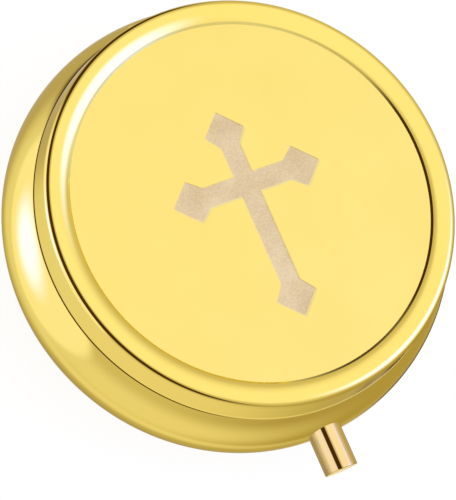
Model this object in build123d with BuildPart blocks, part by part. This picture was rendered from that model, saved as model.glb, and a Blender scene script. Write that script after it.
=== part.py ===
from build123d import *
from math import asin, atan2, ceil, cos, degrees, dist, pi, radians, sin, sqrt
import os

# A push-button pyx: a round metal box with a hinged lid, for carrying altar breads.
# Millimetres. The foot's centre is the origin, +Z is up, the button faces -Y, the hinge is at +Y.

# Bowl
bowl_radius = 25.0
belly_height = 5.5
mouth_inset = 1.9
mouth_height = 12.2
shell_wall = 0.7

# Lid
lid_height = 3.8
mouth_step = 0.23
lid_seam = 0.06
skirt_flare = 0.18
lid_wall = 0.55
bezel_width = 2.87
bezel_round = 1.38
bezel_rise = 0.7
plate_thickness = 0.6
plate_margin = 1.7
pan_thickness = 0.5
pan_margin = 1.4
retaining_ring_width = 0.7
retaining_ring_height = 0.4

# Etched cross, measured from where its arms meet
cross_offset = 1.88
cross_head = 8.42
cross_foot = 15.35
cross_side = 8.77
cross_arm_half_width = 1.1
cross_tip_length = 2.36
cross_tip_half_width = 2.34
cross_neck = 3.9
cross_depth = 0.1

# Collar and liner of the bowl
band_wall = 0.6
band_rise = 1.4
band_depth = 1.0
deck_thickness = 0.3
deck_width = 2.9
liner_wall = 0.6
liner_round = 2.0
liner_flange_width = 1.2
liner_flange_thickness = 0.3

# Hinge
barrel_radius = 0.6
barrel_overhang = 0.18
pin_radius = 0.28
pin_overlength = 0.1
leaf_thickness = 0.25
spring_bay = 1.5
lid_knuckle_length = 0.6
base_knuckle_length = 0.6
knuckle_gap = 0.06
spring_wire_radius = 0.1
spring_pitch = 0.64
spring_turns = 2
spring_bore_gap = 0.06
notch_relief = 0.75
notch_drop = 0.5

# Push button, its bush and the latch
button_drop = 4.9
button_radius = 1.85
button_projection = 4.3
button_edge = 0.25
button_flange_lip = 0.45
button_flange_thickness = 0.6
button_stem_radius = 1.0
bush_wall = 0.7
bush_length = 1.56
latch_thickness = 0.4
latch_width = 4.6
latch_foot = 6.0
latch_bend = 0.6
hook_length = 0.7
hook_edge = 0.15
hook_height = 0.9
catch_width = 4.0
catch_thickness = 0.5
catch_lip = 0.8
catch_lip_height = 0.5
catch_drop = 2.3

# Clearances
running_gap = 0.05
pin_gap = 0.02
solder_gap = 0.03
rest_gap = 0.05
hook_gap = 0.1
latch_gap = 0.2
notch_gap = 0.25
slot_gap = 0.4
cut_margin = 1.0

# Bowl, worked out
mouth_radius = bowl_radius - mouth_inset
foot_radius = bowl_radius - belly_height
shoulder_rise = mouth_height - belly_height
shoulder_radius = (mouth_inset**2 + shoulder_rise**2) / (2 * mouth_inset)
shoulder_centre = bowl_radius - shoulder_radius


def bowl_reach(height, depth):
    """Distance from the axis to the surface that lies a given depth under the bowl's skin."""
    rise = height - belly_height
    if rise >= 0:
        return shoulder_centre + sqrt((shoulder_radius - depth) ** 2 - rise**2)
    return foot_radius + sqrt((belly_height - depth) ** 2 - rise**2)


def shoulder_angle(depth):
    """Angle of the shoulder's arc between the belly and the mouth."""
    return degrees(asin(shoulder_rise / (shoulder_radius - depth)))


mouth_inner_radius = bowl_reach(mouth_height, shell_wall)

# Lid, worked out
lid_radius = mouth_radius - mouth_step
skirt_radius = lid_radius + skirt_flare
lid_inner_radius = lid_radius - lid_wall
lid_bottom = mouth_height + lid_seam
lid_top = mouth_height + lid_height
plate_top = lid_top - bezel_rise
plate_bottom = plate_top - plate_thickness
disc_radius = lid_radius - bezel_width
plate_radius = disc_radius + plate_margin
crown_radius = lid_radius - bezel_round
crown_height = lid_top - bezel_round
crown_run = crown_radius - disc_radius
slope_radius = (crown_run**2 + bezel_rise**2) / (2 * bezel_rise)
inner_round = bezel_round - lid_wall

# Hinge, worked out
hinge_y = lid_radius + barrel_overhang - barrel_radius
hinge_z = mouth_height
lid_knuckle_start = spring_bay
base_knuckle_start = lid_knuckle_start + lid_knuckle_length + knuckle_gap
barrel_half_length = base_knuckle_start + base_knuckle_length
notch_half_width = barrel_half_length + notch_relief
notch_top = hinge_z + barrel_radius + notch_gap
notch_bottom = hinge_z - barrel_radius - notch_drop
skirt_notch_half_width = sqrt(skirt_radius**2 - hinge_y**2) + notch_relief

# Collar and liner, worked out
band_outer_radius = mouth_inner_radius - solder_gap
band_inner_radius = band_outer_radius - band_wall
band_top = mouth_height + band_rise
deck_bottom = hinge_z - barrel_radius + leaf_thickness
deck_top = deck_bottom + deck_thickness
band_bottom = deck_bottom - band_depth
deck_hole_radius = band_inner_radius - deck_width
liner_outer_radius = deck_hole_radius - solder_gap
liner_radius = liner_outer_radius - liner_wall
liner_flange_radius = liner_outer_radius + liner_flange_width
leaf_inner_edge = liner_outer_radius + notch_gap
leaf_edge = sqrt(band_inner_radius**2 - notch_half_width**2) - running_gap
latch_bottom = shell_wall + rest_gap
liner_bottom = latch_bottom + latch_thickness + rest_gap
liner_floor = liner_bottom + liner_wall
liner_top = deck_top + liner_flange_thickness

# Latch, worked out
catch_outer_radius = band_outer_radius - running_gap
catch_inner_radius = catch_outer_radius - catch_thickness
catch_tip_radius = catch_inner_radius - catch_lip
catch_bottom = mouth_height - catch_drop
catch_lip_top = catch_bottom + catch_lip_height
latch_outer = catch_tip_radius - latch_gap
latch_inner = latch_outer - latch_thickness
hook_bottom = catch_lip_top + hook_gap
hook_top = hook_bottom + hook_height
hook_tip = latch_outer + hook_length
slot_half_width = catch_width / 2 + slot_gap
slot_edge = catch_tip_radius - slot_gap
button_height = mouth_height - button_drop
bore_radius = button_radius + running_gap
bush_outer_radius = bore_radius + bush_wall
bush_end = bowl_reach(button_height, shell_wall) - bush_length
button_end = bowl_radius + button_projection
flange_outer = bush_end - rest_gap
flange_inner = flange_outer - button_flange_thickness
stem_end = latch_outer + rest_gap

# Lid pan and retaining ring, worked out
pan_bottom = hinge_z + barrel_radius
pan_flange_bottom = plate_bottom - pan_thickness
pan_slope = pan_flange_bottom - pan_bottom
pan_flat_radius = disc_radius - pan_margin + pan_slope
pan_radius = lid_inner_radius - solder_gap
ring_top = pan_flange_bottom
ring_bottom = ring_top - retaining_ring_height
ring_inner_radius = pan_radius - retaining_ring_width

front_plane = Plane(origin=(0, 0, button_height), x_dir=(1, 0, 0), z_dir=(0, -1, 0))


def knuckles(start, length):
    """A pair of hinge barrels along X, one on each side of the middle."""
    for first in (start, -start - length):
        with BuildSketch(Plane.YZ.offset(first)) as barrel:
            with Locations((hinge_y, hinge_z)):
                Circle(barrel_radius)
        extrude(barrel.sketch, amount=length)


def pin_bore():
    """The hole for the hinge pin through both barrels of a leaf."""
    with BuildSketch(Plane.YZ.offset(-barrel_half_length - cut_margin)) as bore:
        with Locations((hinge_y, hinge_z)):
            Circle(pin_radius + pin_gap)
    extrude(bore.sketch, amount=2 * (barrel_half_length + cut_margin), mode=Mode.SUBTRACT)


def plan_block(x_from, x_to, y_from, y_to, z_from, z_to, mode=Mode.ADD):
    """A straight block between two corners, as stock or as a cut."""
    with BuildSketch(Plane.XY.offset(z_from)) as plan:
        with Locations(((x_from + x_to) / 2, (y_from + y_to) / 2)):
            Rectangle(x_to - x_from, y_to - y_from)
    extrude(plan.sketch, amount=z_to - z_from, mode=mode)


# Bowl of the box, a deep drawn shell with a flat foot
with BuildPart() as base_shell:
    with BuildSketch(Plane.XZ):
        with BuildLine():
            Line((0, 0), (foot_radius, 0))
            CenterArc((foot_radius, belly_height), belly_height, -90, 90)
            CenterArc((shoulder_centre, belly_height), shoulder_radius, 0, shoulder_angle(0))
            Line((mouth_radius, mouth_height), (mouth_inner_radius, mouth_height))
            CenterArc(
                (shoulder_centre, belly_height),
                shoulder_radius - shell_wall,
                0,
                shoulder_angle(shell_wall),
            )
            CenterArc((foot_radius, belly_height), belly_height - shell_wall, -90, 90)
            Line((foot_radius, shell_wall), (0, shell_wall))
            Line((0, shell_wall), (0, 0))
        make_face()
    revolve(axis=Axis.Z)
    with BuildSketch(front_plane):
        Circle(bore_radius)
    extrude(amount=bowl_radius + cut_margin, mode=Mode.SUBTRACT)
    plan_block(
        -notch_half_width,
        notch_half_width,
        liner_radius,
        bowl_radius,
        notch_bottom,
        mouth_height + cut_margin,
        mode=Mode.SUBTRACT,
    )

# Collar soldered in the mouth: a band that the lid closes over, and a deck that hides the works
with BuildPart() as base_collar:
    with BuildSketch(Plane.XZ):
        with BuildLine():
            Polyline(
                (deck_hole_radius, deck_bottom),
                (band_inner_radius, deck_bottom),
                (band_inner_radius, band_bottom),
                (band_outer_radius, band_bottom),
                (band_outer_radius, band_top),
                (band_inner_radius, band_top),
                (band_inner_radius, deck_top),
                (deck_hole_radius, deck_top),
                close=True,
            )
        make_face()
    revolve(axis=Axis.Z)
    plan_block(
        -notch_half_width,
        notch_half_width,
        leaf_edge,
        bowl_radius,
        band_bottom - cut_margin,
        band_top + cut_margin,
        mode=Mode.SUBTRACT,
    )
    plan_block(
        0,
        spring_bay,
        liner_flange_radius + solder_gap,
        bowl_radius,
        band_bottom - cut_margin,
        band_top + cut_margin,
        mode=Mode.SUBTRACT,
    )
    plan_block(
        -slot_half_width,
        slot_half_width,
        -bowl_radius,
        -slot_edge,
        band_bottom - cut_margin,
        band_top + cut_margin,
        mode=Mode.SUBTRACT,
    )

# Polished cup that holds the breads, hung by its flange on the deck
with BuildPart() as base_liner:
    with BuildSketch(Plane.XZ):
        with BuildLine():
            FilletPolyline(
                (0, liner_bottom),
                (liner_outer_radius, liner_bottom),
                (liner_outer_radius, deck_top),
                radius=liner_round + liner_wall,
            )
            Polyline(
                (liner_outer_radius, deck_top),
                (liner_flange_radius, deck_top),
                (liner_flange_radius, liner_top),
                (liner_radius, liner_top),
            )
            FilletPolyline(
                (liner_radius, liner_top),
                (liner_radius, liner_floor),
                (0, liner_floor),
                radius=liner_round,
            )
            Line((0, liner_floor), (0, liner_bottom))
        make_face()
    revolve(axis=Axis.Z)

# Bush that guides the button, shaped to the inside of the bowl
with BuildPart() as button_bush:
    with BuildSketch(Plane.XZ):
        with BuildLine():
            bowl_skin_depth = shell_wall + solder_gap
            Line((0, belly_height), (0, mouth_height))
            Line((0, mouth_height), (bowl_reach(mouth_height, bowl_skin_depth), mouth_height))
            CenterArc(
                (shoulder_centre, belly_height),
                shoulder_radius - bowl_skin_depth,
                0,
                shoulder_angle(bowl_skin_depth),
            )
            CenterArc((foot_radius, belly_height), belly_height - bowl_skin_depth, -90, 90)
            Line((foot_radius, bowl_skin_depth), (0, bowl_skin_depth))
            Line((0, bowl_skin_depth), (0, belly_height))
        make_face()
    revolve(axis=Axis.Z)
    with BuildSketch(front_plane.offset(bush_end)):
        Circle(bush_outer_radius)
        Circle(bore_radius, mode=Mode.SUBTRACT)
    extrude(amount=bush_length + bowl_radius, mode=Mode.INTERSECT)

# Spring leaf that stands behind the button and hooks the lid
with BuildPart() as latch_spring:
    with BuildSketch(Plane.YZ):
        with BuildLine():
            FilletPolyline(
                (latch_foot - latch_outer, latch_bottom),
                (-latch_outer, latch_bottom),
                (-latch_outer, hook_bottom),
                radius=latch_bend + latch_thickness,
            )
            Polyline(
                (-latch_outer, hook_bottom),
                (-hook_tip, hook_bottom),
                (-hook_tip, hook_bottom + hook_edge),
                (-latch_outer, hook_top),
                (-latch_inner, hook_top),
            )
            FilletPolyline(
                (-latch_inner, hook_top),
                (-latch_inner, latch_bottom + latch_thickness),
                (latch_foot - latch_outer, latch_bottom + latch_thickness),
                radius=latch_bend,
            )
            Line(
                (latch_foot - latch_outer, latch_bottom + latch_thickness),
                (latch_foot - latch_outer, latch_bottom),
            )
        make_face()
    extrude(amount=latch_width / 2, both=True)

# Base half of the hinge, soldered under the deck
with BuildPart() as hinge_base_leaf:
    plan_block(
        -barrel_half_length,
        barrel_half_length,
        leaf_inner_edge,
        leaf_edge,
        deck_bottom - leaf_thickness,
        deck_bottom,
    )
    for tab_start in (base_knuckle_start, -barrel_half_length):
        plan_block(
            tab_start,
            tab_start + base_knuckle_length,
            leaf_edge,
            hinge_y,
            deck_bottom - leaf_thickness,
            deck_bottom,
        )
    knuckles(base_knuckle_start, base_knuckle_length)
    pin_bore()

# Hinge pin
with BuildPart() as hinge_pin:
    with BuildSketch(Plane.YZ.offset(-barrel_half_length - pin_overlength)):
        with Locations((hinge_y, hinge_z)):
            Circle(pin_radius)
    extrude(amount=2 * (barrel_half_length + pin_overlength))

# Spring that lifts the lid, wound round the pin, with one leg on the deck and one under the lid
coil_radius = pin_radius + spring_bore_gap + spring_wire_radius
leg_gap = spring_wire_radius + rest_gap
leg_reach = liner_flange_radius + leg_gap - hinge_y
base_leg_rise = deck_top + leg_gap - hinge_z
lid_leg_rise = pan_bottom - leaf_thickness - leg_gap - hinge_z


def leg_length(rise):
    """Straight length of a leg from its tip to where it meets the coil."""
    return sqrt(leg_reach**2 + rise**2 - coil_radius**2)


def leg_turn(rise):
    """Angle between a leg's tip and its meeting point, seen from the pin."""
    return atan2(leg_length(rise), coil_radius)


coil_start = atan2(leg_reach, base_leg_rise) + leg_turn(base_leg_rise)
coil_end = atan2(leg_reach, lid_leg_rise) - leg_turn(lid_leg_rise) + 2 * pi * (spring_turns + 1)
coil_middle = (coil_start + coil_end) / 2
advance = spring_pitch / (2 * pi)


def coil_point(angle):
    """A point of the wire's middle line, with the angle taken from the top of the coil."""
    across = advance * (angle - coil_middle)
    return Vector(across, hinge_y + coil_radius * sin(angle), hinge_z + coil_radius * cos(angle))


def coil_heading(angle):
    """Direction of the wire at a point of the coil."""
    return Vector(advance, coil_radius * cos(angle), -coil_radius * sin(angle)).normalized()


def biarc_middle(start, end):
    """The point and direction where two tangent arcs of a stretch of coil join."""
    first, last = coil_point(start), coil_point(end)
    out, home = coil_heading(start), coil_heading(end)
    chord = last - first
    spread = 2 * (1 - out.dot(home))
    lean = chord.dot(out + home)
    arm = (sqrt(lean**2 + spread * chord.dot(chord)) - lean) / spread
    return (first + last + (out - home) * arm) * 0.5, (chord - (out + home) * arm).normalized()


stretch_count = ceil((coil_end - coil_start) / (pi / 2))
stretch = (coil_end - coil_start) / stretch_count
base_leg_tip = coil_point(coil_start) - coil_heading(coil_start) * leg_length(base_leg_rise)
lid_leg_tip = coil_point(coil_end) + coil_heading(coil_end) * leg_length(lid_leg_rise)

with BuildPart() as lid_spring:
    with BuildLine() as wire_path:
        Line(base_leg_tip, coil_point(coil_start))
        for index in range(stretch_count):
            begin = coil_start + index * stretch
            middle, heading = biarc_middle(begin, begin + stretch)
            TangentArc(coil_point(begin), middle, tangent=coil_heading(begin))
            TangentArc(middle, coil_point(begin + stretch), tangent=heading)
        Line(coil_point(coil_end), lid_leg_tip)
    with BuildSketch(Plane(origin=base_leg_tip, z_dir=coil_heading(coil_start))):
        Circle(spring_wire_radius)
    sweep(path=wire_path.line)

# Least gap between turns, measured on points of the wire that lie over half a turn apart
gap_steps = 360
gap_angles = [coil_start + (coil_end - coil_start) * step / gap_steps for step in range(gap_steps + 1)]
gap_points = [tuple(coil_point(angle)) for angle in gap_angles]
skip = ceil(pi / (coil_end - coil_start) * gap_steps)
least_gap = min(
    dist(gap_points[i], gap_points[j])
    for i in range(len(gap_points))
    for j in range(i + skip, len(gap_points))
)
print(f"least gap between the turns of the lid spring: {least_gap - 2 * spring_wire_radius:.3f} mm")

# Push button with its flange and stem
with BuildPart() as push_button:
    with BuildSketch(front_plane.offset(flange_inner)):
        Circle(button_radius)
    extrude(amount=button_end - flange_inner)
    fillet(push_button.edges().sort_by(Axis.Y)[0], radius=button_edge)
    with BuildSketch(front_plane.offset(flange_inner)):
        Circle(button_radius + button_flange_lip)
    extrude(amount=button_flange_thickness)
    with BuildSketch(front_plane.offset(stem_end)):
        Circle(button_stem_radius)
    extrude(amount=flange_inner - stem_end)

# Bezel of the lid: a rounded rim with a straight skirt
with BuildPart() as lid_bezel:
    with BuildSketch(Plane.XZ):
        with BuildLine():
            slope_angle = degrees(asin(crown_run / slope_radius))
            inner_rise = plate_top - crown_height
            inner_angle = degrees(asin(inner_rise / inner_round))
            inner_edge = crown_radius + sqrt(inner_round**2 - inner_rise**2)
            CenterArc((crown_radius, lid_top - slope_radius), slope_radius, 90, slope_angle)
            CenterArc((crown_radius, crown_height), bezel_round, 0, 90)
            Line((lid_radius, crown_height), (skirt_radius, lid_bottom))
            Line((skirt_radius, lid_bottom), (lid_inner_radius, lid_bottom))
            Line((lid_inner_radius, lid_bottom), (lid_inner_radius, crown_height))
            CenterArc((crown_radius, crown_height), inner_round, 0, inner_angle)
            Line((inner_edge, plate_top), (disc_radius, plate_top))
        make_face()
    revolve(axis=Axis.Z)
    plan_block(
        -skirt_notch_half_width,
        skirt_notch_half_width,
        liner_radius,
        bowl_radius,
        lid_bottom - cut_margin,
        notch_top,
        mode=Mode.SUBTRACT,
    )


def cross_arm(length):
    """Half the outline of one arm, from its pointed tip back to its neck, as (along, aside)."""
    return [
        (length, 0),
        (length - cross_tip_length, cross_tip_half_width),
        (length - cross_neck, cross_arm_half_width),
    ]


def cross_outline():
    """The whole outline of the cross, arm by arm, round the point where the arms meet."""
    points = []
    arms = [(cross_side, 0), (cross_head, 90), (cross_side, 180), (cross_foot, 270)]
    for length, turn in arms:
        tip, shoulder, neck = cross_arm(length)
        corner = (cross_arm_half_width, cross_arm_half_width)
        half = [(neck[0], -neck[1]), (shoulder[0], -shoulder[1]), tip, shoulder, neck, corner]
        for along, aside in half:
            x = along * cos(radians(turn)) - aside * sin(radians(turn))
            y = along * sin(radians(turn)) + aside * cos(radians(turn))
            points.append((x, y))
    return points


# Disc of the lid, with the cross etched into it
with BuildPart() as lid_plate:
    with BuildSketch(Plane.XY.offset(plate_bottom)):
        Circle(plate_radius)
    extrude(amount=plate_thickness)
    with BuildSketch(Plane.XY.offset(plate_top)):
        with Locations((0, cross_offset)):
            Polygon(*cross_outline(), align=None)
    extrude(amount=-cross_depth, mode=Mode.SUBTRACT)

# Dished pan that closes the lid from inside
with BuildPart() as lid_pan:
    with BuildSketch(Plane.XZ):
        with BuildLine():
            Polyline(
                (0, pan_bottom),
                (pan_flat_radius - pan_slope, pan_bottom),
                (pan_flat_radius, pan_flange_bottom),
                (pan_radius, pan_flange_bottom),
                (pan_radius, plate_bottom),
                (pan_flat_radius - pan_thickness, plate_bottom),
                (pan_flat_radius - pan_slope - pan_thickness, pan_bottom + pan_thickness),
                (0, pan_bottom + pan_thickness),
                close=True,
            )
        make_face()
    revolve(axis=Axis.Z)

# Ring pressed into the skirt to hold the pan and the disc
with BuildPart() as lid_retaining_ring:
    with BuildSketch(Plane.XY.offset(ring_bottom)):
        Circle(pan_radius)
        Circle(ring_inner_radius, mode=Mode.SUBTRACT)
    extrude(amount=retaining_ring_height)

# Lid half of the hinge, soldered under the pan
with BuildPart() as hinge_lid_leaf:
    lid_leaf_half_width = lid_knuckle_start + lid_knuckle_length
    plan_block(
        -lid_leaf_half_width,
        lid_leaf_half_width,
        leaf_inner_edge,
        leaf_edge,
        pan_bottom - leaf_thickness,
        pan_bottom,
    )
    for tab_start in (lid_knuckle_start, -lid_leaf_half_width):
        plan_block(
            tab_start,
            tab_start + lid_knuckle_length,
            leaf_edge,
            hinge_y,
            pan_bottom - leaf_thickness,
            pan_bottom,
        )
    knuckles(lid_knuckle_start, lid_knuckle_length)
    pin_bore()

# Tongue inside the lid's skirt, whose lip goes under the latch's hook
with BuildPart() as lid_catch:
    with BuildSketch(Plane.XZ):
        with BuildLine():
            Polyline(
                (catch_tip_radius, catch_bottom),
                (catch_outer_radius, catch_bottom),
                (catch_outer_radius, ring_bottom),
                (catch_inner_radius, ring_bottom),
                (catch_inner_radius, catch_lip_top),
                (catch_tip_radius, catch_lip_top),
                close=True,
            )
        make_face()
    revolve(axis=Axis.Z)
    with BuildSketch(Plane.XY.offset(catch_bottom)):
        with Locations((0, -bowl_radius / 2)):
            Rectangle(catch_width, bowl_radius)
    extrude(amount=lid_top - catch_bottom, mode=Mode.INTERSECT)

pieces = {
    "base_shell": base_shell,
    "base_collar": base_collar,
    "base_liner": base_liner,
    "button_bush": button_bush,
    "latch_spring": latch_spring,
    "hinge_base_leaf": hinge_base_leaf,
    "hinge_pin": hinge_pin,
    "lid_spring": lid_spring,
    "push_button": push_button,
    "lid_bezel": lid_bezel,
    "lid_plate": lid_plate,
    "lid_pan": lid_pan,
    "lid_retaining_ring": lid_retaining_ring,
    "hinge_lid_leaf": hinge_lid_leaf,
    "lid_catch": lid_catch,
}

os.makedirs("parts", exist_ok=True)
for name, piece in pieces.items():
    piece.part.label = name
    export_step(piece.part, f"parts/{name}.step")
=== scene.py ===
from collections import namedtuple
from math import asin, atan2, cos, degrees, pi, radians, sin, sqrt, tan

import bmesh
import bpy
from mathutils import Matrix, Vector


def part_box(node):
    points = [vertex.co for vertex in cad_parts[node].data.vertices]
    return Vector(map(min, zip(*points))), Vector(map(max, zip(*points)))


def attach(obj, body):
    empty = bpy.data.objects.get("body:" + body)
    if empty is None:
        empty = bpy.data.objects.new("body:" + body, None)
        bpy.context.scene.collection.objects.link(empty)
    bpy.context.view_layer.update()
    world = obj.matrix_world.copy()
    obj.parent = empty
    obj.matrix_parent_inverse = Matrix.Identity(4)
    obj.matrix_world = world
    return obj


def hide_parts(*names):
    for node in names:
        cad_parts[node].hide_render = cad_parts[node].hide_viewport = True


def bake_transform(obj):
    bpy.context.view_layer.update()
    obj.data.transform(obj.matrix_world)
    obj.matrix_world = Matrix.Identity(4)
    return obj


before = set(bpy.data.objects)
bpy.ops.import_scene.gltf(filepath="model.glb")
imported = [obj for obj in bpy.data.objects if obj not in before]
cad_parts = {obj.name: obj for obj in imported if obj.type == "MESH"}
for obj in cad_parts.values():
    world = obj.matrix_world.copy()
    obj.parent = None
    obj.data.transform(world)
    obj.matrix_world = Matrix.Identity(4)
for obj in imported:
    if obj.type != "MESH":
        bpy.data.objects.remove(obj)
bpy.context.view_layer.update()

# Lengths are millimetres in the part's frame, and meshes are written in metres
MM = 0.001
SHARP_ANGLE = radians(32)
FLAT_ANGLE = radians(1)
WELD_DISTANCE = 0.001

# Steps round the axis and along the arcs of the profiles
TURN_STEPS = 256
BELLY_STEPS = 44
SHOULDER_STEPS = 36
MOUTH_STEPS = 12
INNER_SHOULDER_STEPS = 20
INNER_BELLY_STEPS = 24
INNER_BEND_STEPS = 8
CROWN_STEPS = 40
SLOPE_STEPS = 24
COIL_STEPS = 32
WIRE_STEPS = 5
EASE_STEPS = 6

# How far past an eased corner its faces are held flat, in parts of the corner's radius
EASE_HOLD = 0.3


def span(node):
    """Lowest and highest corner of a node, in millimetres."""
    low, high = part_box(node)
    return low / MM, high / MM


shell_high = span("base_shell")[1]
collar_low, collar_high = span("base_collar")
liner_low, liner_high = span("base_liner")
bezel_low, bezel_high = span("lid_bezel")
plate_low, plate_high = span("lid_plate")
pan_low, pan_high = span("lid_pan")
ring_low, ring_high = span("lid_retaining_ring")
button_low, button_high = span("push_button")
pin_low, pin_high = span("hinge_pin")
leaf_high = span("hinge_base_leaf")[1]
catch_high = span("lid_catch")[1]
bush_high = span("button_bush")[1]

# Bowl
bowl_radius = shell_high.x
mouth_height = shell_high.z
belly_height = 5.5
mouth_inset = 2.0
shell_wall = 0.7
lip_round = 0.4
foot_radius = bowl_radius - belly_height
shoulder_rise = mouth_height - belly_height
shoulder_radius = (mouth_inset**2 + shoulder_rise**2) / (2 * mouth_inset)
shoulder_centre = bowl_radius - shoulder_radius

# Lid
skirt_inset = 0.05
skirt_radius = bezel_high.x - skirt_inset
lid_bottom = bezel_low.z
lid_top = bezel_high.z
plate_top = plate_high.z
skirt_wall = 0.68
skirt_tilt = 6
bezel_width = 3.1
bezel_round = 0.93
inner_round = 0.83
inner_drop = 1.38
lip_rise = 0.2
lip_angle = 38.5
lip_ease = 0.3
slope_angle = 32
lid_inner_radius = skirt_radius - skirt_wall
disc_radius = skirt_radius - bezel_width
bezel_rise = lid_top - plate_top
crown_height = lid_top - bezel_round
skirt_top = crown_height + bezel_round * sin(radians(skirt_tilt))
skirt_flare = (skirt_top - lid_bottom) * tan(radians(skirt_tilt))
crown_radius = skirt_radius - skirt_flare - bezel_round * cos(radians(skirt_tilt))
lip_radius = disc_radius + lip_rise / tan(radians(lip_angle))
slope_run = crown_radius - lip_radius
slope_rise = bezel_rise - lip_rise
slope_radius = (slope_run * sin(radians(slope_angle)) - slope_rise * cos(radians(slope_angle))) / (
    1 - cos(radians(slope_angle))
)
skirt_round = 0.04
SKIRT_RINGS = (0.25, 0.5, 0.75, 0.95)

# Etched cross, measured from where its arms meet
cross_offset = 1.88
cross_head = 8.42
cross_foot = 15.35
cross_side = 8.77
cross_arm_half_width = 1.1
cross_tip_length = 2.36
cross_tip_half_width = 2.34
cross_neck = 3.9
cross_depth = 0.05
# A shallower cut, shifted a little along +x and -y, leaves a paler ledge along that side of the cross
ledge_depth = 0.02
ledge_shift = (0.1, -0.22)

# Inside of the lid
pan_thickness = 0.5
pan_margin = 1.4
pan_ease = 0.3
ring_width = 0.7
ring_ease = 0.08

# Collar and liner
band_wall = 0.6
deck_thickness = 0.3
deck_width = 2.9
liner_wall = 0.6
liner_round = 2.0
liner_flange_thickness = 0.3
liner_ease = 0.12
collar_ease = 0.1
solder_gap = 0.03
band_inner_radius = collar_high.x - band_wall
deck_hole_radius = band_inner_radius - deck_width
liner_outer_radius = deck_hole_radius - solder_gap
liner_radius = liner_outer_radius - liner_wall
deck_top = liner_high.z - liner_flange_thickness
deck_bottom = deck_top - deck_thickness

# Hinge and its notch
hinge_y = (pin_low.y + pin_high.y) / 2
hinge_z = (pin_low.z + pin_high.z) / 2
pin_radius = (pin_high.z - pin_low.z) / 2
barrel_radius = leaf_high.y - hinge_y
leaf_thickness = 0.25
notch_gap = 0.25
notch_top = hinge_z + barrel_radius + notch_gap
running_gap = 0.05
notch_relief = 0.75
notch_drop = 0.5
notch_half_width = leaf_high.x + notch_relief
notch_bottom = hinge_z - barrel_radius - notch_drop
leaf_edge = sqrt(band_inner_radius**2 - notch_half_width**2) - running_gap
skirt_notch_half_width = sqrt(skirt_radius**2 - hinge_y**2) + notch_relief
cut_margin = 1.0

# Lid spring
spring_wire_radius = 0.1
spring_pitch = 0.64
spring_turns = 2
spring_bay = 1.5
spring_bore_gap = 0.06
rest_gap = 0.05

# Push button and latch
button_height = (button_low.z + button_high.z) / 2
button_end = -button_low.y
stem_end = -button_high.y
button_radius = 1.85
button_edge = 0.14
button_flange_radius = button_high.x
flange_thickness = 0.6
flange_outer = -bush_high.y - rest_gap
flange_inner = flange_outer - flange_thickness
flange_ease = 0.08
button_stem_radius = 1.0
bore_radius = button_radius + running_gap
slot_gap = 0.4
slot_half_width = catch_high.x + slot_gap
slot_edge = sqrt(catch_high.x**2 + catch_high.y**2) - slot_gap

# Eased edges of the small fittings
fitting_ease = 0.05
catch_ease = 0.06
pin_ease = 0.08


def new_piece(name, vertices, faces, material):
    """A mesh object of one material, from points in millimetres."""
    mesh = bpy.data.meshes.new(name)
    mesh.from_pydata([Vector(point) * MM for point in vertices], [], faces)
    mesh.validate()
    mesh.materials.append(material)
    piece = bpy.data.objects.new(name, mesh)
    bpy.context.scene.collection.objects.link(piece)
    return piece


def shade(piece):
    """Smooth shading that keeps the real edges sharp."""
    piece.data.shade_smooth()
    piece.data.set_sharp_from_angle(angle=SHARP_ANGLE)


def arc(centre_out, centre_up, radius, start, end, steps):
    """Points of an arc in a profile, between two angles in degrees."""
    angles = [radians(start + (end - start) * step / steps) for step in range(steps + 1)]
    return [(centre_out + radius * cos(angle), centre_up + radius * sin(angle)) for angle in angles]


def eased(corners):
    """A closed profile, with each corner that has a third value rounded to that radius."""
    points = []
    for index, corner in enumerate(corners):
        here = Vector(corner[:2])
        if len(corner) == 2:
            points.append(corner)
            continue
        radius = corner[2]
        back = (Vector(corners[index - 1][:2]) - here).normalized()
        ahead = (Vector(corners[(index + 1) % len(corners)][:2]) - here).normalized()
        half = back.angle(ahead) / 2
        centre = here + (back + ahead).normalized() * (radius / sin(half))
        reach = radius / tan(half)
        hold = reach + radius * EASE_HOLD
        first = here + back * reach - centre
        last = here + ahead * reach - centre
        start = atan2(first.y, first.x)
        sweep = (atan2(last.y, last.x) - start + pi) % (2 * pi) - pi
        points.append(tuple(here + back * hold))
        points += arc(*centre, radius, degrees(start), degrees(start + sweep), EASE_STEPS)
        points.append(tuple(here + ahead * hold))
    return points


def lathe(name, profile, material, place=Matrix.Identity(4)):
    """A closed profile of (distance from the axis, height) turned about the axis, then put in place."""
    vertices, rows = [], []
    turns = [2 * pi * step / TURN_STEPS for step in range(TURN_STEPS)]
    for out, up in profile:
        first = len(vertices)
        if out == 0:
            vertices.append(place @ Vector((0, 0, up)))
            rows.append([first] * TURN_STEPS)
        else:
            vertices += [place @ Vector((out * cos(turn), out * sin(turn), up)) for turn in turns]
            rows.append(range(first, first + TURN_STEPS))
    faces = []
    for below, above in zip(rows, rows[1:] + rows[:1]):
        for step in range(TURN_STEPS):
            ahead = (step + 1) % TURN_STEPS
            corners = (below[step], below[ahead], above[ahead], above[step])
            face = tuple(dict.fromkeys(corners))
            if len(face) > 2:
                faces.append(face)
    return new_piece(name, vertices, faces, material)


def prism(name, outline, low, high, material):
    """A straight solid with a given plan."""
    count = len(outline)
    vertices = [(x, y, low) for x, y in outline] + [(x, y, high) for x, y in outline]
    faces = [tuple(reversed(range(count))), tuple(range(count, 2 * count))]
    for index in range(count):
        ahead = (index + 1) % count
        faces.append((index, ahead, ahead + count, index + count))
    return new_piece(name, vertices, faces, material)


def block(low, high, material):
    """A straight block between two corners, for a cut."""
    plan = [(low[0], low[1]), (high[0], low[1]), (high[0], high[1]), (low[0], high[1])]
    return prism("cutter", plan, low[2], high[2], material)


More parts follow.
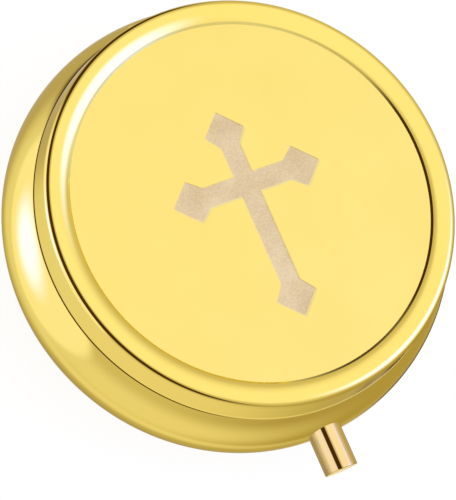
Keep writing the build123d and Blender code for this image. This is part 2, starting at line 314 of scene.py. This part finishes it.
def cut(piece, *cutters):
    """Takes the cutters out of a piece and deletes them."""
    for cutter in cutters:
        difference = piece.modifiers.new("cut", "BOOLEAN")
        difference.operation = "DIFFERENCE"
        difference.solver = "EXACT"
        difference.material_mode = "TRANSFER"
        difference.object = cutter
    depsgraph = bpy.context.evaluated_depsgraph_get()
    solid = bpy.data.meshes.new_from_object(piece.evaluated_get(depsgraph))
    piece.modifiers.clear()
    piece.data = solid
    for cutter in cutters:
        bpy.data.objects.remove(cutter)
    return piece


def add_node(tree, kind, inputs=None, **settings):
    """A shader node with its settings, and its inputs set or linked."""
    node = tree.nodes.new(kind)
    for name, value in settings.items():
        setattr(node, name, value)
    for key, value in (inputs or {}).items():
        if isinstance(value, bpy.types.NodeSocket):
            tree.links.new(value, node.inputs[key])
        else:
            node.inputs[key].default_value = value
    return node


def blend_colours(tree, factor, first, second):
    """A mix of two colours, each a value or a link."""
    colours = {0: factor, 6: first, 7: second}
    return add_node(tree, "ShaderNodeMix", colours, data_type="RGBA").outputs[2]


def number(tree, operation, *values):
    """A number worked out from others, each a value or a link."""
    return add_node(tree, "ShaderNodeMath", dict(enumerate(values)), operation=operation).outputs[0]


def remap(tree, value, low, high, new_low, new_high, interpolation="LINEAR"):
    """A value moved from one range to another."""
    inputs = {"Value": value, "From Min": low, "From Max": high, "To Min": new_low, "To Max": new_high}
    node = add_node(tree, "ShaderNodeMapRange", inputs, interpolation_type=interpolation)
    return node.outputs["Result"]


def noise(tree, place, size, detail):
    """Noise whose features are about a given number of millimetres across."""
    inputs = {"Vector": place, "Scale": 1 / (size * MM), "Detail": detail}
    return add_node(tree, "ShaderNodeTexNoise", inputs).outputs["Fac"]


def emboss(tree, shader, height, strength, depth):
    """Relief in a surface, to a depth in millimetres."""
    inputs = {"Height": height, "Strength": strength, "Distance": depth * MM}
    bump = add_node(tree, "ShaderNodeBump", inputs)
    tree.links.new(bump.outputs["Normal"], shader.inputs["Normal"])


def new_material(name):
    """A material, its tree, its main shader and the part's own coordinates."""
    material = bpy.data.materials.new(name)
    material.use_nodes = True
    tree = material.node_tree
    place = add_node(tree, "ShaderNodeTexCoord").outputs["Object"]
    return material, tree, tree.nodes["Principled BSDF"], place


GOLD = (0.982, 0.799, 0.212, 1)
GOLD_DEEP = (0.972, 0.782, 0.2, 1)
GOLD_EDGE = (0.99, 0.94, 0.55, 1)
WARM_GOLD = (0.94, 0.73, 0.34, 1)
WARM_GOLD_DEEP = (0.9, 0.68, 0.3, 1)
# Darker gold of the bezel's lip: painted shade along the groove where the bezel meets the disc
SHADED_LIP_GOLD = (0.86, 0.75, 0.25, 1)
SHADED_LIP_GOLD_DEEP = (0.83, 0.72, 0.23, 1)
ETCHED_PALE = (1, 0.82, 0.42, 1)
ETCHED_DEEP = (0.83, 0.64, 0.29, 1)
# Paler, yellower tone of the ledge beside the cross
ETCHED_EDGE_PALE = (1, 0.87, 0.34, 1)
ETCHED_EDGE_DEEP = (1, 0.8, 0.3, 1)
STEEL_PALE = (0.64, 0.63, 0.6, 1)
STEEL_DEEP = (0.5, 0.49, 0.47, 1)
STEEL_EDGE = (1, 1, 1, 1)

# Finishes: roughness where smooth and where worn, size of the worn places, and depth of the relief
Finish = namedtuple("Finish", "smooth rough wear_size depth")
MIRROR = Finish(0.03, 0.055, 2.5, 0.0002)
POLISHED = Finish(0.05, 0.08, 2.5, 0.0002)
BRUSHED = Finish(0.36, 0.38, 2.5, 0.0002)
TURNED = Finish(0.09, 0.15, 1.5, 0.0012)
SATIN = Finish(0.12, 0.2, 1.2, 0.001)
SPRING = Finish(0.2, 0.34, 0.8, 0.002)
NOISE_RANGE = (0.3, 0.7)
TONE_RANGE = (0.35, 0.65)
MOTTLE_RANGE = (0.3, 1.7)
TONE_SIZE = 9
RING_SIZE = 0.25
RING_WAVER = 0.4
GRAIN_SIZE = 0.22
GRAIN_STRENGTH = 0.6
GRAIN_DEPTH = 0.012
CLOUD_SIZE = 3.5
PLAIN_DETAIL = 2
RELIEF_DETAIL = 3
WEAR_DETAIL = 4
GRAIN_DETAIL = 5
RELIEF_PER_WEAR = 3

# Reflections in the button, by angle round its axis: where they draw together,
# how far they lean there, and how tightly they draw
BUTTON_MIDDLE = -24
BUTTON_LEAN = -20
BUTTON_TIGHTNESS = 0.5


def flat_metal(name, pale, deep, edge, finish):
    """A metal with a slight change of tone and gloss that varies, still without relief."""
    material, tree, shader, place = new_material(name)
    shader.inputs["Metallic"].default_value = 1
    shader.inputs["Specular Tint"].default_value = edge
    tone = remap(tree, noise(tree, place, TONE_SIZE, PLAIN_DETAIL), *TONE_RANGE, 0, 1)
    tree.links.new(blend_colours(tree, tone, pale, deep), shader.inputs["Base Color"])
    wear = noise(tree, place, finish.wear_size, WEAR_DETAIL)
    gloss = remap(tree, wear, *NOISE_RANGE, finish.smooth, finish.rough)
    tree.links.new(gloss, shader.inputs["Roughness"])
    return material, tree, shader, place


def metal(name, pale, deep, edge, finish):
    """A metal with a fine unevenness."""
    material, tree, shader, place = flat_metal(name, pale, deep, edge, finish)
    relief = noise(tree, place, finish.wear_size / RELIEF_PER_WEAR, RELIEF_DETAIL)
    emboss(tree, shader, relief, 1, finish.depth)
    return material


def leaning_gold(name):
    """Warm gold whose reflections lean round the button's axis, and draw together at its middle."""
    material = metal(name, WARM_GOLD, WARM_GOLD_DEEP, GOLD_EDGE, POLISHED)
    tree = material.node_tree
    facing = add_node(tree, "ShaderNodeNewGeometry").outputs["Normal"]
    axes = add_node(tree, "ShaderNodeSeparateXYZ", {0: facing}).outputs
    around = number(tree, "ARCTAN2", axes["X"], axes["Z"])
    lean = radians(BUTTON_LEAN)
    swing = sqrt(lean**2 + BUTTON_TIGHTNESS**2) / 2
    phase = 2 * radians(BUTTON_MIDDLE) + atan2(BUTTON_TIGHTNESS, lean)
    wave = number(tree, "COSINE", number(tree, "MULTIPLY_ADD", around, 2, -phase))
    turn = {"Vector": facing, "Angle": number(tree, "MULTIPLY_ADD", wave, swing, lean / 2)}
    turned = add_node(tree, "ShaderNodeVectorRotate", turn, rotation_type="Y_AXIS").outputs["Vector"]
    tree.links.new(turned, tree.nodes["Bump"].inputs["Normal"])
    return material


def turned_gold(name):
    """Gold with the fine rings that turning leaves round the axis."""
    material, tree, shader, place = flat_metal(name, GOLD, GOLD_DEEP, GOLD_EDGE, TURNED)
    rings = {"Vector": place, "Scale": 1 / (RING_SIZE * MM)}
    rings |= {"Distortion": RING_WAVER, "Detail": PLAIN_DETAIL}
    wave = add_node(tree, "ShaderNodeTexWave", rings, wave_type="RINGS", rings_direction="Z")
    emboss(tree, shader, wave.outputs["Fac"], 1, TURNED.depth)
    return material


def etched(name, pale, deep, metallic, roughness):
    """The frosted ground of the cross: a matte grain in the metal."""
    material, tree, shader, place = new_material(name)
    shader.inputs["Metallic"].default_value = metallic
    shader.inputs["Roughness"].default_value = roughness
    grain = remap(tree, noise(tree, place, GRAIN_SIZE, GRAIN_DETAIL), *NOISE_RANGE, 0, 1)
    cloud = remap(tree, noise(tree, place, CLOUD_SIZE, PLAIN_DETAIL), *NOISE_RANGE, 0, 1)
    tone = remap(tree, number(tree, "ADD", grain, cloud), *MOTTLE_RANGE, 0, 1)
    tree.links.new(blend_colours(tree, tone, deep, pale), shader.inputs["Base Color"])
    emboss(tree, shader, grain, GRAIN_STRENGTH, GRAIN_DEPTH)
    return material


gold = metal("polished_gold", GOLD, GOLD_DEEP, GOLD_EDGE, MIRROR)
warm_gold = leaning_gold("button_gold")
# The bezel's lip: a rougher finish, darkened as painted shade where it meets the disc
shaded_lip_gold = metal("shaded_lip_gold", SHADED_LIP_GOLD, SHADED_LIP_GOLD_DEEP, GOLD_EDGE, POLISHED)
brushed_gold = metal("disc_gold", GOLD, GOLD_DEEP, GOLD_EDGE, BRUSHED)
inner_gold = turned_gold("turned_gold")
satin_gold = metal("satin_gold", GOLD, GOLD_DEEP, GOLD_EDGE, SATIN)
steel = metal("spring_steel", STEEL_PALE, STEEL_DEEP, STEEL_EDGE, SPRING)
frosted = etched("frosted_metal", ETCHED_PALE, ETCHED_DEEP, metallic=0.25, roughness=0.62)
frosted_edge = etched("frosted_edge", ETCHED_EDGE_PALE, ETCHED_EDGE_DEEP, metallic=0.3, roughness=0.5)


def seat(piece, body, slot, *nodes):
    """Puts a finished piece on its body, in place of its CAD nodes."""
    shade(piece)
    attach(piece, body)
    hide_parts(*nodes)


def shoulder_angle(rise, depth):
    """Angle of the shoulder's arc at a rise over the belly, for a line at a depth in the wall."""
    return degrees(asin(rise / (shoulder_radius - depth)))


def hinge_notch(half_width, low, high):
    """The cut that makes room for the hinge, between two heights."""
    return block((-half_width, liner_radius, low), (half_width, bowl_radius + cut_margin, high), gold)


def across_front(distance):
    """Placing for a piece turned about the button's axis, with its zero at a distance to the front."""
    return Matrix.Translation((0, -distance, button_height)) @ Matrix.Rotation(pi / 2, 4, "X")


def make_bowl():
    lip_start = shoulder_angle(shoulder_rise - lip_round, lip_round)
    lip_centre = shoulder_centre + (shoulder_radius - lip_round) * cos(radians(lip_start))
    profile = [(0, 0)]
    profile += arc(foot_radius, belly_height, belly_height, -90, 0, BELLY_STEPS)
    profile += arc(shoulder_centre, belly_height, shoulder_radius, 0, lip_start, SHOULDER_STEPS)[1:]
    profile += arc(lip_centre, mouth_height - lip_round, lip_round, lip_start, 90, MOUTH_STEPS)[1:]
    inside = shoulder_radius - shell_wall
    inner_start = shoulder_angle(shoulder_rise, shell_wall)
    profile += arc(shoulder_centre, belly_height, inside, inner_start, 0, INNER_SHOULDER_STEPS)
    profile += arc(foot_radius, belly_height, belly_height - shell_wall, 0, -90, INNER_BELLY_STEPS)[1:]
    profile.append((0, shell_wall))
    piece = lathe("bowl", profile, gold)
    bore = [(0, 0), (bore_radius, 0), (bore_radius, bowl_radius), (0, bowl_radius)]
    cut(
        piece,
        hinge_notch(notch_half_width, notch_bottom, mouth_height + cut_margin),
        lathe("cutter", bore, gold, across_front(foot_radius)),
    )
    # Not mirrored by the lid's skirt
    piece.visible_glossy = False
    seat(piece, "base", "polished_gold", "base_shell")


def make_collar():
    profile = [
        (deck_hole_radius, deck_bottom),
        (band_inner_radius, deck_bottom),
        (band_inner_radius, collar_low.z),
        (collar_high.x, collar_low.z),
        (collar_high.x, collar_high.z, collar_ease),
        (band_inner_radius, collar_high.z, collar_ease),
        (band_inner_radius, deck_top),
        (deck_hole_radius, deck_top),
    ]
    piece = lathe("collar", eased(profile), satin_gold)
    low, high = collar_low.z - cut_margin, collar_high.z + cut_margin
    reach = bowl_radius
    cut(
        piece,
        block((-notch_half_width, leaf_edge, low), (notch_half_width, reach, high), satin_gold),
        block((0, liner_high.x + solder_gap, low), (spring_bay, reach, high), satin_gold),
        block((-slot_half_width, -reach, low), (slot_half_width, -slot_edge, high), satin_gold),
    )
    seat(piece, "base", "polished_gold", "base_collar")


def make_liner():
    floor = liner_low.z + liner_wall
    profile = [
        (0, liner_low.z),
        (liner_outer_radius, liner_low.z, liner_round + liner_wall),
        (liner_outer_radius, deck_top),
        (liner_high.x, deck_top),
        (liner_high.x, liner_high.z, liner_ease),
        (liner_radius, liner_high.z, liner_ease),
        (liner_radius, floor, liner_round),
        (0, floor),
    ]
    piece = lathe("liner", eased(profile), inner_gold)
    seat(piece, "base", "polished_gold", "base_liner")


def make_button():
    profile = [
        (0, stem_end),
        (button_stem_radius, stem_end, flange_ease),
        (button_stem_radius, flange_inner),
        (button_flange_radius, flange_inner, flange_ease),
        (button_flange_radius, flange_outer, flange_ease),
        (button_radius, flange_outer),
        (button_radius, button_end, button_edge),
        (0, button_end),
    ]
    piece = lathe("button", eased(profile), warm_gold, across_front(0))
    # Not mirrored by the bowl
    piece.visible_glossy = False
    seat(piece, "button", "polished_gold", "push_button")


def make_bezel():
    inner_height = lid_top - inner_drop
    inner_angle = degrees(asin((plate_top - inner_height) / inner_round))
    profile = [(disc_radius, plate_top)]
    bend_radius = lid_inner_radius - inner_round
    profile += arc(bend_radius, inner_height, inner_round, inner_angle, 0, INNER_BEND_STEPS)
    profile += [(lid_inner_radius, lid_bottom, skirt_round), (skirt_radius, lid_bottom, skirt_round)]
    for share in SKIRT_RINGS:
        profile.append((skirt_radius - skirt_flare * share, lid_bottom + (skirt_top - lid_bottom) * share))
    profile += arc(crown_radius, crown_height, bezel_round, skirt_tilt, 90, CROWN_STEPS)
    slope_end = 90 + slope_angle
    profile += arc(crown_radius, lid_top - slope_radius, slope_radius, 90, slope_end, SLOPE_STEPS)[1:]
    profile.append((lip_radius, plate_top + lip_rise, lip_ease))
    piece = lathe("bezel", eased(profile), gold)
    # The lip that meets the disc is rougher, and its darker colour is painted shade of the groove where
    # the bezel meets the disc
    piece.data.materials.append(shaded_lip_gold)
    for face in piece.data.polygons:
        middle = face.center / MM
        if middle.z > plate_top and middle.xy.length < lip_radius:
            face.material_index = 1
    cut(piece, hinge_notch(skirt_notch_half_width, lid_bottom - cut_margin, notch_top))
    seat(piece, "lid", "polished_gold", "lid_bezel")


def cross_outline(shift):
    """The outline of the cross, arm by arm, moved by a shift."""
    points = []
    arms = ((cross_side, 0), (cross_head, 90), (cross_side, 180), (cross_foot, 270))
    for length, turn in arms:
        shoulder = length - cross_tip_length
        neck = length - cross_neck
        half = [
            (neck, -cross_arm_half_width),
            (shoulder, -cross_tip_half_width),
            (length, 0),
            (shoulder, cross_tip_half_width),
            (neck, cross_arm_half_width),
            (cross_arm_half_width, cross_arm_half_width),
        ]
        angle = radians(turn)
        for along, aside in half:
            x = along * cos(angle) - aside * sin(angle)
            y = along * sin(angle) + aside * cos(angle)
            points.append((x + shift[0], y + cross_offset + shift[1]))
    return points


def make_disc():
    profile = [(0, plate_low.z), (plate_high.x, plate_low.z), (plate_high.x, plate_top), (0, plate_top)]
    piece = lathe("disc", profile, brushed_gold)
    edge = cross_outline(ledge_shift)
    pale_ledge = prism("cutter", edge, plate_top - ledge_depth, lid_top, frosted_edge)
    ground = prism("cutter", cross_outline((0, 0)), plate_top - cross_depth, lid_top, frosted)
    cut(piece, pale_ledge, ground)
    seat(piece, "lid", "polished_gold", "lid_plate")


def make_pan():
    flange_bottom = pan_high.z - pan_thickness
    slope = flange_bottom - pan_low.z
    flat_radius = disc_radius - pan_margin
    profile = [
        (0, pan_low.z),
        (flat_radius, pan_low.z, pan_ease),
        (flat_radius + slope, flange_bottom, pan_ease),
        (pan_high.x, flange_bottom),
        (pan_high.x, pan_high.z),
        (flat_radius + slope - pan_thickness, pan_high.z),
        (flat_radius - pan_thickness, pan_low.z + pan_thickness),
        (0, pan_low.z + pan_thickness),
    ]
    piece = lathe("pan", eased(profile), inner_gold)
    seat(piece, "lid", "polished_gold", "lid_pan")


def make_retainer():
    inner = ring_high.x - ring_width
    profile = [
        (inner, ring_low.z, ring_ease),
        (ring_high.x, ring_low.z, ring_ease),
        (ring_high.x, ring_high.z),
        (inner, ring_high.z),
    ]
    piece = lathe("retainer", eased(profile), satin_gold)
    seat(piece, "lid", "polished_gold", "lid_retaining_ring")


def fitting(name, node, material, edge):
    """A small fitting: the node's own form with its edges eased."""
    form = bmesh.new()
    form.from_mesh(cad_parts[node].data)
    bmesh.ops.remove_doubles(form, verts=form.verts, dist=WELD_DISTANCE * MM)
    bmesh.ops.dissolve_limit(form, angle_limit=FLAT_ANGLE, verts=form.verts, edges=form.edges)
    corners = [e for e in form.edges if e.is_manifold and e.calc_face_angle() > SHARP_ANGLE]
    bmesh.ops.bevel(form, geom=corners, offset=edge * MM, segments=2, profile=0.5, affect="EDGES")
    piece = new_piece(name, [], [], material)
    form.to_mesh(piece.data)
    form.free()
    return piece


def make_spring():
    """The lid's spring, wound round the pin, which twists between the base and the lid."""
    coil = pin_radius + spring_bore_gap + spring_wire_radius
    gap = spring_wire_radius + rest_gap
    reach = liner_high.x + gap - hinge_y
    base_rise = deck_top + gap - hinge_z
    lid_rise = pan_low.z - leaf_thickness - gap - hinge_z

    def meeting(rise):
        """Straight length of a leg, and its angle round the pin."""
        length = sqrt(reach**2 + rise**2 - coil**2)
        return length, atan2(length, coil)

    base_length, base_turn = meeting(base_rise)
    lid_length, lid_turn = meeting(lid_rise)
    start = atan2(reach, base_rise) + base_turn
    end = atan2(reach, lid_rise) - lid_turn + 2 * pi * (spring_turns + 1)
    advance = spring_pitch / (2 * pi)

    def point(angle):
        across = advance * (angle - (start + end) / 2)
        return Vector((across, hinge_y + coil * sin(angle), hinge_z + coil * cos(angle)))

    def heading(angle):
        return Vector((advance, coil * cos(angle), -coil * sin(angle))).normalized()

    steps = COIL_STEPS * (spring_turns + 1)
    turns = [start + (end - start) * step / steps for step in range(steps + 1)]
    line = [point(start) - heading(start) * base_length]
    line += [point(turn) for turn in turns]
    line += [point(end) + heading(end) * lid_length]
    curve = bpy.data.curves.new("lid_coil", "CURVE")
    curve.dimensions = "3D"
    curve.bevel_depth = spring_wire_radius * MM
    curve.bevel_resolution = WIRE_STEPS
    curve.use_fill_caps = True
    spline = curve.splines.new("POLY")
    spline.points.add(len(line) - 1)
    for place, spot in zip(spline.points, line):
        place.co = (*(spot * MM), 1)
    wire = bpy.data.objects.new("wire", curve)
    piece = bpy.data.objects.new("lid_coil", bpy.data.meshes.new_from_object(wire))
    bpy.data.objects.remove(wire)
    bpy.context.scene.collection.objects.link(piece)
    piece.data.materials.append(steel)
    shade(piece)
    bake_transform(piece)
    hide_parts("lid_spring")


def make_latch():
    """The latch spring, with its edges eased."""
    piece = fitting("latch", "latch_spring", steel, fitting_ease)
    shade(piece)
    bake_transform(piece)
    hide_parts("latch_spring")


make_bowl()
make_collar()
make_liner()
make_button()
make_bezel()
make_disc()
make_pan()
make_retainer()
make_spring()
make_latch()
bush = fitting("bush", "button_bush", satin_gold, fitting_ease)
seat(bush, "base", "polished_gold", "button_bush")
hinge_base = fitting("hinge_base", "hinge_base_leaf", gold, fitting_ease)
seat(hinge_base, "base", "polished_gold", "hinge_base_leaf")
hinge_lid = fitting("hinge_lid", "hinge_lid_leaf", gold, fitting_ease)
seat(hinge_lid, "lid", "polished_gold", "hinge_lid_leaf")
pin = fitting("pin", "hinge_pin", gold, pin_ease)
seat(pin, "base", "polished_gold", "hinge_pin")
catch = fitting("catch", "lid_catch", satin_gold, catch_ease)
seat(catch, "lid", "polished_gold", "lid_catch")

# Studio: what the polished metal mirrors, by direction from the box in degrees.
# Each card is laid over the one before.
Card = namedtuple("Card", "azimuth elevation half_width half_height edge colour")
LOW_TONE = (0.66, 0.6, 0.47, 1)
HIGH_TONE = (1.06, 1.025, 1, 1)
BACKDROP_TONE = (1, 1, 1, 1)
NADIR_TONE = (0.45, 0.39, 0.36, 1)
DARK_TONE = (0.065, 0.03, 0.004, 1)
SKY_RISE = (0, 60)
NADIR_FALL = (-55, -80)

# Low surroundings: dull right, pale front, the strip that the skirt mirrors, dull back, pale left
LOW_CARDS = (
    Card(-50, -30, 60, 40, 0.5, (0.45, 0.37, 0.22, 1)),
    Card(-140, -37, 60, 17, 0.6, (0.84, 0.79, 0.72, 1)),
    Card(-160, -58, 95, 5.5, 0.6, (0.86, 0.8, 0.8, 1)),
    Card(80, -40, 35, 35, 0.5, (0.5, 0.44, 0.45, 1)),
    Card(150, -30, 45, 44, 0.3, (0.83, 0.81, 0.84, 1)),
    Card(158, -18.5, 41.5, 34.5, 0.08, (1.02, 1, 1.15, 1)),
)

# Dark at the back and low right, and the pale spots that the button's end and the bezel's lip mirror
NEAR_CARDS = (
    Card(86, -6, 25, 22, 0.25, DARK_TONE),
    Card(5, -62, 24, 10, 0.5, (0.14, 0.08, 0.02, 1)),
    Card(-12, -67, 10, 4, 0.5, (0.95, 0.85, 0.7, 1)),
    Card(-27, 5, 28, 7, 0.5, (0.92, 0.9, 1, 1)),
)

# High lamp on the right and low lamp on the left
LAMPS = (
    Card(-28, 37, 30, 21, 0.5, (1.2, 1.5, 4.6, 1)),
    Card(153, -25, 15, 14, 0.6, (1.3, 1.4, 4.6, 1)),
)

# Bands that run round a tilted axis
Band = namedtuple("Band", "azimuth elevation offset half_height middle half_length edge colour")
DIM_BAND = Band(-10, 70, 22, 16, 160, 120, 0.6, (0.66, 0.58, 0.43, 1))
DARK_BAND = Band(-10, 70, 4, 21, 170, 90, 0.15, DARK_TONE)


def make_studio():
    world = bpy.data.worlds.new("studio")
    bpy.context.scene.world = world
    world.use_nodes = True
    tree = world.node_tree
    tree.nodes.clear()

    ray = add_node(tree, "ShaderNodeTexCoord").outputs["Generated"]
    axes = add_node(tree, "ShaderNodeSeparateXYZ", {0: ray}).outputs
    azimuth = number(tree, "DEGREES", number(tree, "ARCTAN2", axes["Y"], axes["X"]))
    elevation = number(tree, "DEGREES", number(tree, "ARCSINE", axes["Z"]))

    def aside(middle):
        """Degrees of azimuth from a middle direction."""
        return number(tree, "WRAP", number(tree, "SUBTRACT", azimuth, middle), 180, -180)

    def oval(across, half_width, above, half_height, edge):
        """One inside an oval, nought outside it, with a soft edge."""
        wide = number(tree, "POWER", number(tree, "DIVIDE", across, half_width), 2)
        tall = number(tree, "POWER", number(tree, "DIVIDE", above, half_height), 2)
        reach = number(tree, "SQRT", number(tree, "ADD", wide, tall))
        return remap(tree, reach, 1 - edge, 1 + edge, 1, 0, "SMOOTHSTEP")

    def lay(colour, card):
        """An oval card laid over what is there."""
        above = number(tree, "SUBTRACT", elevation, card.elevation)
        cover = oval(aside(card.azimuth), card.half_width, above, card.half_height, card.edge)
        return blend_colours(tree, cover, colour, card.colour)

    def lay_band(colour, band):
        """A band that runs round an axis, laid over what is there."""
        turn, lift = radians(band.azimuth), radians(band.elevation)
        axis = (cos(lift) * cos(turn), cos(lift) * sin(turn), sin(lift))
        product = add_node(tree, "ShaderNodeVectorMath", {0: ray, 1: axis}, operation="DOT_PRODUCT")
        along = number(tree, "DEGREES", number(tree, "ARCSINE", product.outputs["Value"]))
        height = number(tree, "SUBTRACT", along, band.offset)
        cover = oval(aside(band.middle), band.half_length, height, band.half_height, band.edge)
        return blend_colours(tree, cover, colour, band.colour)

    sky = remap(tree, elevation, *SKY_RISE, 0, 1, "SMOOTHSTEP")
    colour = blend_colours(tree, sky, LOW_TONE, HIGH_TONE)
    for card in LOW_CARDS:
        colour = lay(colour, card)
    nadir = remap(tree, elevation, *NADIR_FALL, 0, 1, "SMOOTHSTEP")
    colour = blend_colours(tree, nadir, colour, NADIR_TONE)
    colour = lay_band(lay_band(colour, DIM_BAND), DARK_BAND)
    for card in NEAR_CARDS + LAMPS:
        colour = lay(colour, card)
    mirrored = add_node(tree, "ShaderNodeBackground", {"Color": colour})
    plain = add_node(tree, "ShaderNodeBackground", {"Color": BACKDROP_TONE})
    seen = add_node(tree, "ShaderNodeLightPath").outputs["Is Camera Ray"]
    mixed = add_node(tree, "ShaderNodeMixShader", {0: seen, 1: mirrored.outputs[0], 2: plain.outputs[0]})
    add_node(tree, "ShaderNodeOutputWorld", {"Surface": mixed.outputs[0]})


# Pale floor, just under the foot
FLOOR_HALF = 3000
FLOOR_DROP = 0.02
FLOOR_GLOW = 0.92
FLOOR_TONE = (0.12, 0.12, 0.11, 1)


def make_floor():
    corner = FLOOR_HALF
    plan = [(-corner, -corner), (corner, -corner), (corner, corner), (-corner, corner)]
    material = new_material("pale_floor")[0]
    shader = material.node_tree.nodes["Principled BSDF"]
    floor = new_piece("floor", [(x, y, -FLOOR_DROP) for x, y in plan], [(0, 1, 2, 3)], material)
    shader.inputs["Base Color"].default_value = FLOOR_TONE
    shader.inputs["Roughness"].default_value = 1
    shader.inputs["Specular IOR Level"].default_value = 0
    shader.inputs["Emission Color"].default_value = BACKDROP_TONE
    shader.inputs["Emission Strength"].default_value = FLOOR_GLOW
    floor.visible_glossy = False
    floor.visible_shadow = False
    floor.visible_diffuse = False


# Camera at the photograph's viewing angle
CAMERA_PLACE = Vector((-102.55, -49.0, 253.59))
CAMERA_RIGHT = Vector((0.87327, -0.39678, 0.28274))
CAMERA_UP = Vector((0.31327, 0.90173, 0.29786))
CAMERA_LENS = 180
CAMERA_SENSOR = 36


def make_camera():
    data = bpy.data.cameras.new("camera")
    data.lens = CAMERA_LENS
    data.sensor_width = CAMERA_SENSOR
    camera = bpy.data.objects.new("camera", data)
    back = CAMERA_RIGHT.cross(CAMERA_UP)
    turn = Matrix((CAMERA_RIGHT, CAMERA_UP, back)).transposed().to_4x4()
    camera.matrix_world = Matrix.Translation(CAMERA_PLACE * MM) @ turn
    bpy.context.scene.collection.objects.link(camera)
    bpy.context.scene.camera = camera
    bpy.context.scene.view_settings.view_transform = "Standard"


make_studio()
make_floor()
make_camera()
